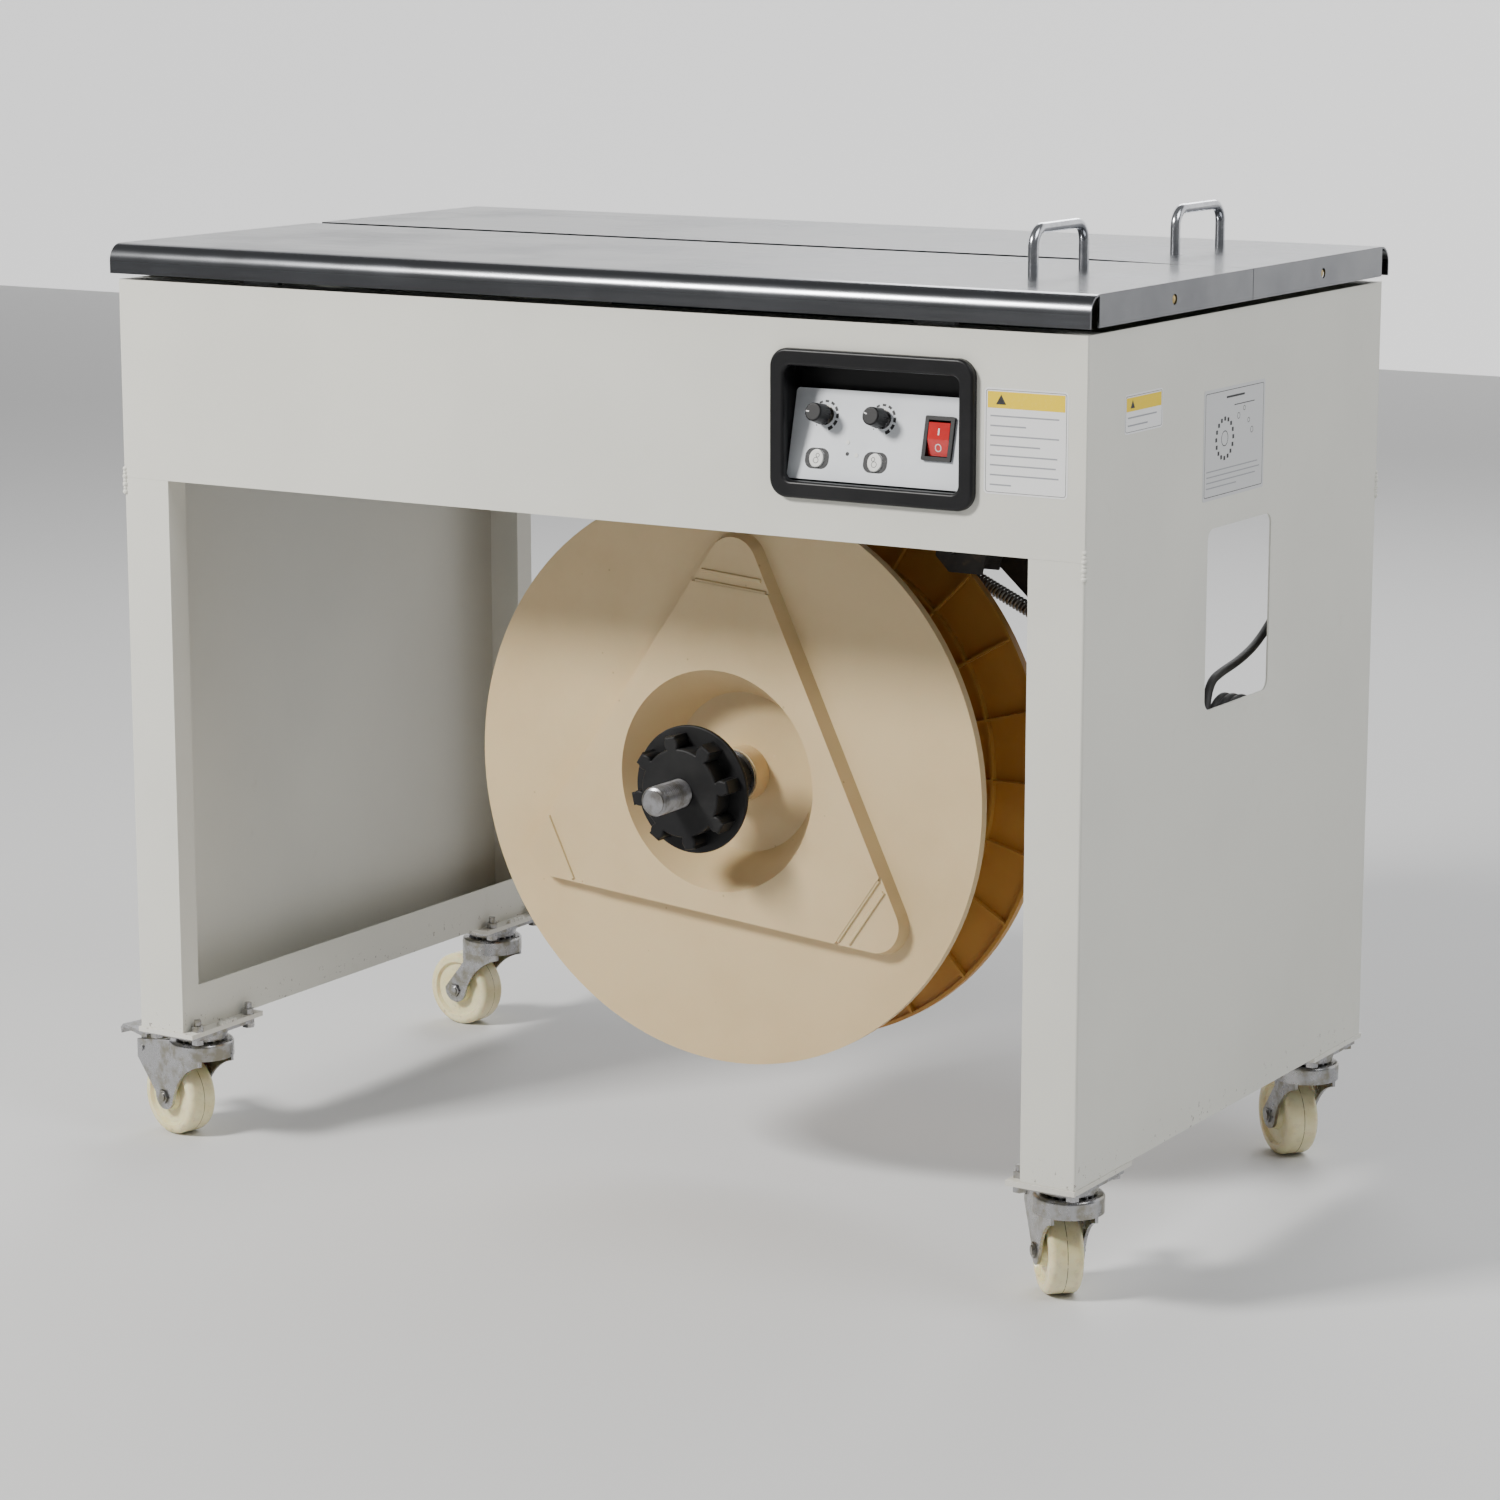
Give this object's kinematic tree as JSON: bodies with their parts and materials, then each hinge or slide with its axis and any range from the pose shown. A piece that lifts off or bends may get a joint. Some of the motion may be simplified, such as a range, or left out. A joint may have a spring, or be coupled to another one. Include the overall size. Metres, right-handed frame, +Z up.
{
  "type": "semi automatic strapping machine",
  "caption": "Low steel cabinet on swivel casters with a polished split table, a strap slot, a recessed control panel and a big clamped strap reel under the table.",
  "frame": {"origin": "on the floor, in the middle of the ground that the machine covers with its casters as they stand", "axes": "+X to the right along the front, +Y to the back, +Z up"},
  "size_m": [0.9604, 0.533, 0.805],
  "materials": {
    "cabinet_paint": "fine textured powder coat, light warm grey",
    "deck_steel": "plain sheet and machined steel",
    "table_steel": "polished stainless sheet",
    "bright_steel": "bright plated",
    "bezel_plastic": "black moulding",
    "face_plate_plastic": "light printed panel",
    "knob_plastic": "black moulding",
    "button_plastic": "white caps",
    "rocker_plastic": "red rocker",
    "zinc_steel": "zinc plated pressed steel",
    "reel_plastic": "beige moulding",
    "dark_steel": "black oxide and dark paint",
    "wheel_nylon": "cream nylon",
    "motor_paint": "dark grey enamel",
    "cord_jacket": "black jacket"
  },
  "bodies": {
    "frame": {"left_side_panel": "cabinet_paint", "right_side_panel": "cabinet_paint", "front_upper_panel": "cabinet_paint", "rear_upper_panel": "cabinet_paint", "mechanism_deck": "deck_steel", "hinge_arms": "deck_steel", "table_rails": "deck_steel", "control_bezel": "bezel_plastic", "control_tray": "bezel_plastic", "face_plate": "face_plate_plastic", "dial_bushes": "zinc_steel", "rocker_frame": "knob_plastic", "reel_bearing": "dark_steel", "reel_hanger": "dark_steel", "strap_guide": "dark_steel", "brake_bracket": "dark_steel", "brake_spring": "dark_steel", "caster_mounts": "cabinet_paint", "caster_heads": "zinc_steel", "mounting_bolts": "zinc_steel", "head_frame": "deck_steel", "drive_motor": "motor_paint", "transformer": "motor_paint", "cord_gland": "knob_plastic", "cord_run": "cord_jacket", "cord_hank": "cord_jacket", "cord_tie": "knob_plastic", "cord_hook": "dark_steel", "mains_plug": "knob_plastic"},
    "front table": {"table_front": "table_steel", "stop_front": "bright_steel", "front_hinge_leaves": "deck_steel"},
    "rear table": {"table_rear": "table_steel", "stop_rear": "bright_steel", "rear_hinge_leaves": "deck_steel"},
    "feed dial": {"feed_knob": "knob_plastic"},
    "tension dial": {"tension_knob": "knob_plastic"},
    "feed push": {"feed_button": "button_plastic"},
    "start push": {"start_button": "button_plastic"},
    "rocker": {"power_rocker": "rocker_plastic"},
    "reel": {"reel_front_flange": "reel_plastic", "reel_rear_flange": "reel_plastic", "reel_core": "reel_plastic", "reel_shaft": "bright_steel"},
    "clamp washer": {"reel_washer": "bright_steel"},
    "clamp nut": {"reel_nut": "knob_plastic"},
    "strap roller": {"guide_roller": "dark_steel"},
    "brake": {"brake_lever": "dark_steel"},
    "feed wheel": {"feed_roller": "deck_steel"},
    "cams": {"cam_shaft": "deck_steel"},
    "front left fork": {"front_left_fork": "zinc_steel"},
    "front left wheel": {"front_left_wheel": "wheel_nylon"},
    "front left pedal": {"front_left_pedal": "zinc_steel"},
    "front right fork": {"front_right_fork": "zinc_steel"},
    "front right wheel": {"front_right_wheel": "wheel_nylon"},
    "front right pedal": {"front_right_pedal": "zinc_steel"},
    "rear left fork": {"rear_left_fork": "zinc_steel"},
    "rear left wheel": {"rear_left_wheel": "wheel_nylon"},
    "rear right fork": {"rear_right_fork": "zinc_steel"},
    "rear right wheel": {"rear_right_wheel": "wheel_nylon"}
  },
  "joints": [
    {"name": "front table hinge", "type": "hinge", "parent": "frame", "child": "front table", "pos_m": [0.03216, -0.25797, 0.752], "axis": [1, 0, 0], "range_deg": [0, 95]},
    {"name": "rear table hinge", "type": "hinge", "parent": "frame", "child": "rear table", "pos_m": [0.03216, 0.25553, 0.752], "axis": [-1, 0, 0], "range_deg": [0, 95]},
    {"name": "feed dial turn", "type": "hinge", "parent": "frame", "child": "feed dial", "pos_m": [0.25036, -0.24473, 0.66518], "axis": [0, -0.9728, 0.2317], "range_deg": [-240, 60]},
    {"name": "tension dial turn", "type": "hinge", "parent": "frame", "child": "tension dial", "pos_m": [0.29916, -0.24473, 0.66518], "axis": [0, -0.9728, 0.2317], "range_deg": [-240, 60]},
    {"name": "feed push travel", "type": "slide", "parent": "frame", "child": "feed push", "axis": [0, 0.9728, -0.2317], "range_m": [0, 0.0012], "stiffness_N_per_m": 300, "springref_m": -0.002},
    {"name": "start push travel", "type": "slide", "parent": "frame", "child": "start push", "axis": [0, 0.9728, -0.2317], "range_m": [0, 0.0012], "stiffness_N_per_m": 300, "springref_m": -0.002},
    {"name": "rocker tilt", "type": "hinge", "parent": "frame", "child": "rocker", "pos_m": [0.34896, -0.24545, 0.65353], "axis": [1, 0, 0], "range_deg": [-20, 0]},
    {"name": "reel spin", "type": "hinge", "parent": "frame", "child": "reel", "pos_m": [0.06816, 0.00003, 0.343], "axis": [0, 1, 0], "continuous": true},
    {"name": "washer travel", "type": "slide", "parent": "reel", "child": "clamp washer", "axis": [0, -1, 0], "range_m": [0, 0.006]},
    {"name": "nut turn", "type": "hinge", "parent": "clamp washer", "child": "clamp nut", "pos_m": [0.06816, -0.13997, 0.343], "axis": [0, 1, 0], "range_deg": [0, 720]},
    {"name": "strap roller spin", "type": "hinge", "parent": "frame", "child": "strap roller", "pos_m": [0.25416, -0.03897, 0.541], "axis": [0, 1, 0], "continuous": true},
    {"name": "brake lift", "type": "hinge", "parent": "frame", "child": "brake", "pos_m": [0.26716, 0.02853, 0.548], "axis": [0, 1, 0], "range_deg": [0, 4], "stiffness_Nm_per_rad": 20, "springref_deg": -5.73, "deforming": ["brake_spring"]},
    {"name": "feed wheel spin", "type": "hinge", "parent": "frame", "child": "feed wheel", "pos_m": [0.23216, 0.01103, 0.684], "axis": [0, 1, 0], "continuous": true},
    {"name": "cam turn", "type": "hinge", "parent": "frame", "child": "cams", "pos_m": [0.16616, 0.01103, 0.668], "axis": [0, 1, 0], "continuous": true},
    {"name": "front left swivel", "type": "hinge", "parent": "frame", "child": "front left fork", "pos_m": [-0.38334, -0.21497, 0.08], "axis": [0, 0, 1], "continuous": true},
    {"name": "front left roll", "type": "hinge", "parent": "front left fork", "child": "front left wheel", "pos_m": [-0.41439, -0.20723, 0.034], "axis": [-0.2419, -0.9703, 0], "continuous": true},
    {"name": "front left brake", "type": "hinge", "parent": "front left fork", "child": "front left pedal", "pos_m": [-0.4435, -0.19997, 0.072], "axis": [-0.2419, -0.9703, 0], "range_deg": [0, 20]},
    {"name": "front right swivel", "type": "hinge", "parent": "frame", "child": "front right fork", "pos_m": [0.44766, -0.21497, 0.08], "axis": [0, 0, 1], "continuous": true},
    {"name": "front right roll", "type": "hinge", "parent": "front right fork", "child": "front right wheel", "pos_m": [0.42667, -0.19082, 0.034], "axis": [-0.7547, -0.6561, 0], "continuous": true},
    {"name": "front right brake", "type": "hinge", "parent": "front right fork", "child": "front right pedal", "pos_m": [0.40698, -0.16818, 0.072], "axis": [-0.7547, -0.6561, 0], "range_deg": [0, 20]},
    {"name": "rear left swivel", "type": "hinge", "parent": "frame", "child": "rear left fork", "pos_m": [-0.38334, 0.21503, 0.08], "axis": [0, 0, 1], "continuous": true},
    {"name": "rear left roll", "type": "hinge", "parent": "rear left fork", "child": "rear left wheel", "pos_m": [-0.41526, 0.21726, 0.034], "axis": [-0.0698, -0.9976, 0], "continuous": true},
    {"name": "rear right swivel", "type": "hinge", "parent": "frame", "child": "rear right fork", "pos_m": [0.44766, 0.21503, 0.08], "axis": [0, 0, 1], "continuous": true},
    {"name": "rear right roll", "type": "hinge", "parent": "rear right fork", "child": "rear right wheel", "pos_m": [0.42351, 0.23602, 0.034], "axis": [-0.6561, -0.7547, 0], "continuous": true}
  ],
  "couplings": [
    {"joint": "washer travel", "follows": "nut turn", "m_per_rad": 0.000477}
  ]
}
